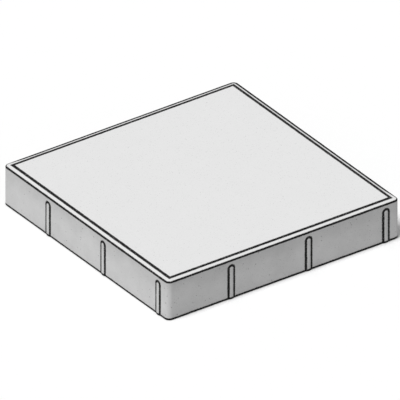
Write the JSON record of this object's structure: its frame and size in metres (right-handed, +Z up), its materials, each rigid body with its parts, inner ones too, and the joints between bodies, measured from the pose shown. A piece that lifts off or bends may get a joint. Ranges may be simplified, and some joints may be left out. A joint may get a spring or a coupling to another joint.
{
  "type": "concrete paving slab",
  "caption": "Square grey concrete paving slab with a narrow bevel round its walking face and upright spacer nibs on its sides that keep the joint to the next slab.",
  "frame": {"origin": "middle of the square on the bed face, so the slab lies on z = 0", "axes": "+Z up through the walking face; X and Y run square to the sides, and each side's row of nibs is the next one's turned by 90 degrees about Z"},
  "size_m": [0.5014, 0.5014, 0.08],
  "materials": {
    "concrete": "pressed pale grey concrete, matt, fine sandy grain"
  },
  "bodies": {
    "root": {"paving_slab": "concrete"}
  },
  "joints": []
}
